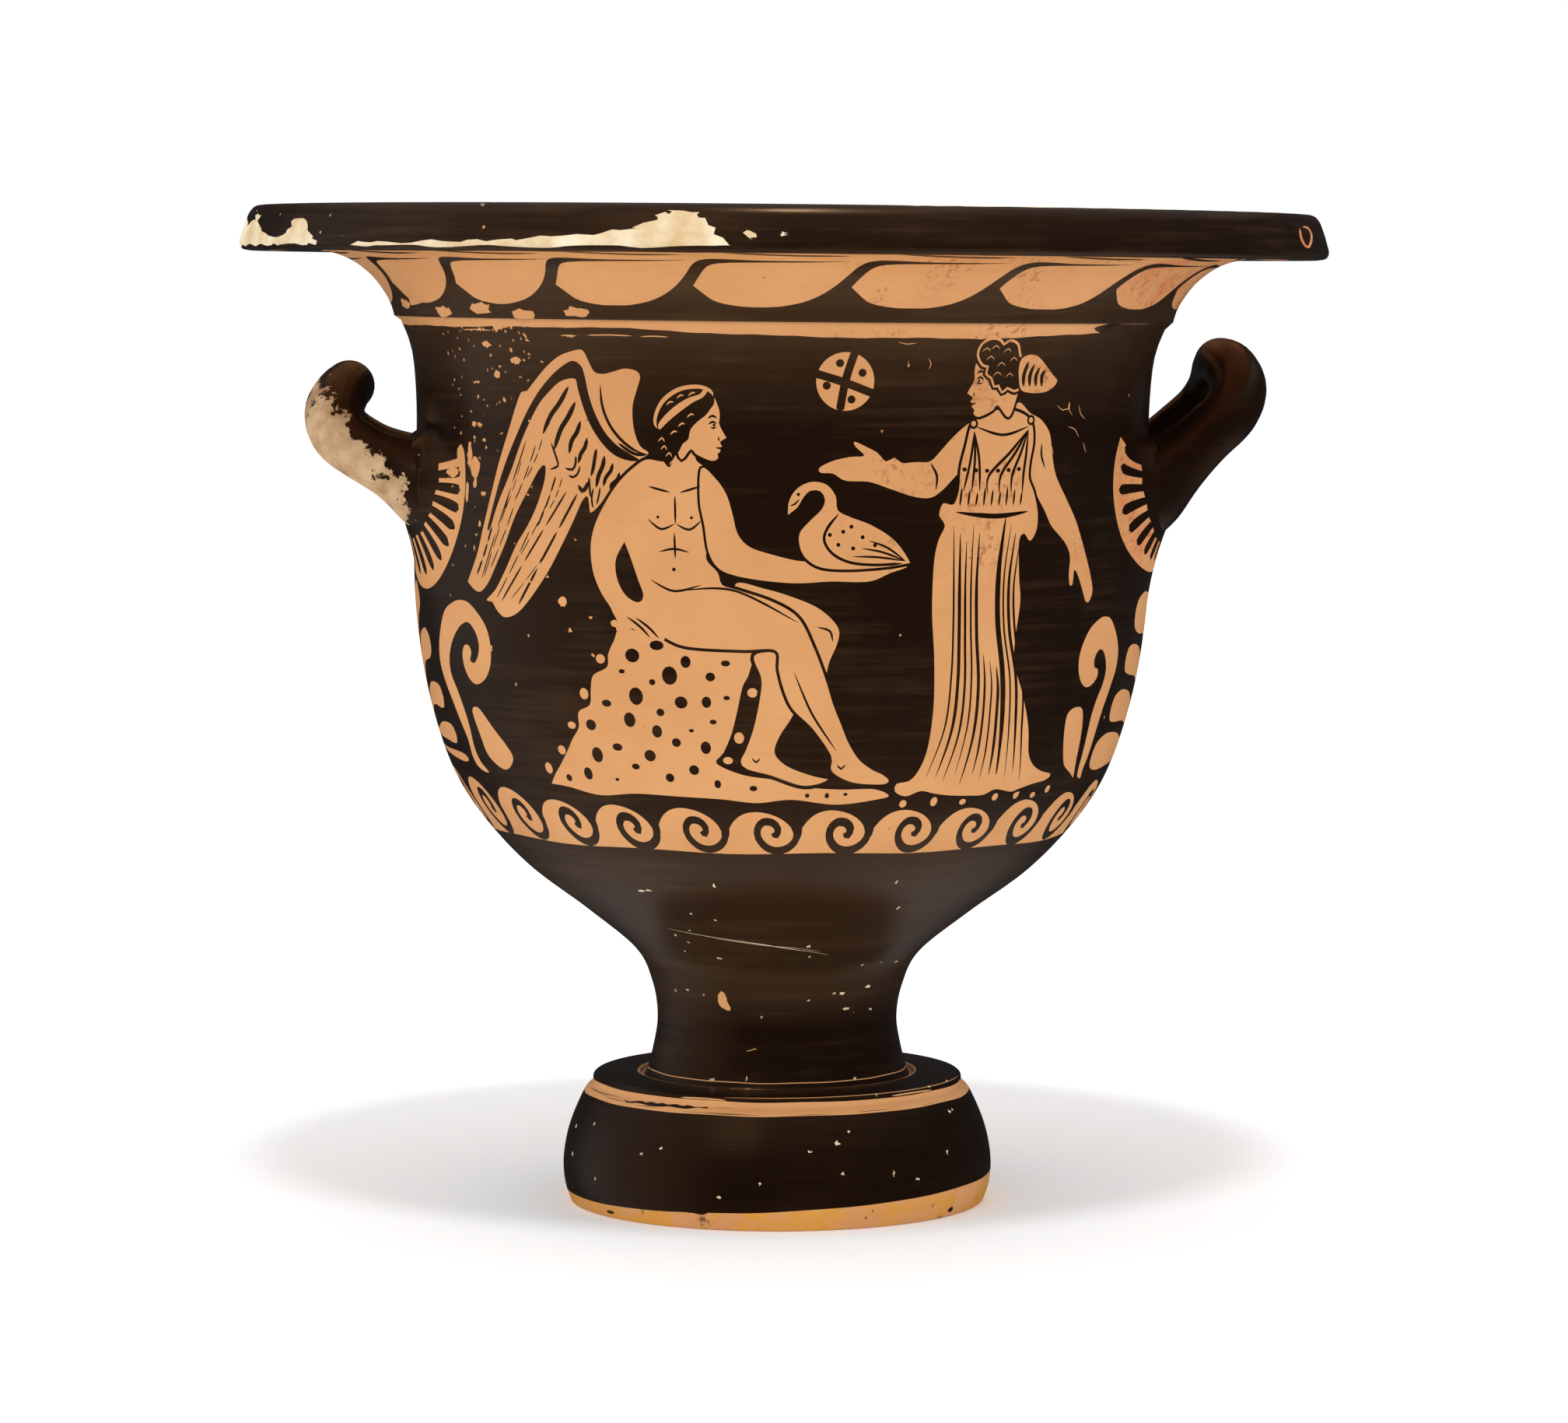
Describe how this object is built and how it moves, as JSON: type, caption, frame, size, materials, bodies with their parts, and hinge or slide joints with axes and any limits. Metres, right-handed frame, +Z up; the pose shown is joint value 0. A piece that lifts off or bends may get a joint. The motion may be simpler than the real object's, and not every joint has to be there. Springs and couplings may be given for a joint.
{
  "type": "bell krater",
  "caption": "Hollow bell-shaped mixing bowl of fired clay on a stemmed foot, with a wide overhanging lip and upturned loop handles.",
  "frame": {"origin": "middle of the foot, on the surface it stands on", "axes": "+Z up, -Y towards the front that shows the main scene, +X towards the handle on the viewer's right"},
  "size_m": [0.3624, 0.3624, 0.3337],
  "materials": {
    "painted_clay": "satin"
  },
  "bodies": {
    "root": {"krater": "painted_clay"}
  },
  "joints": []
}
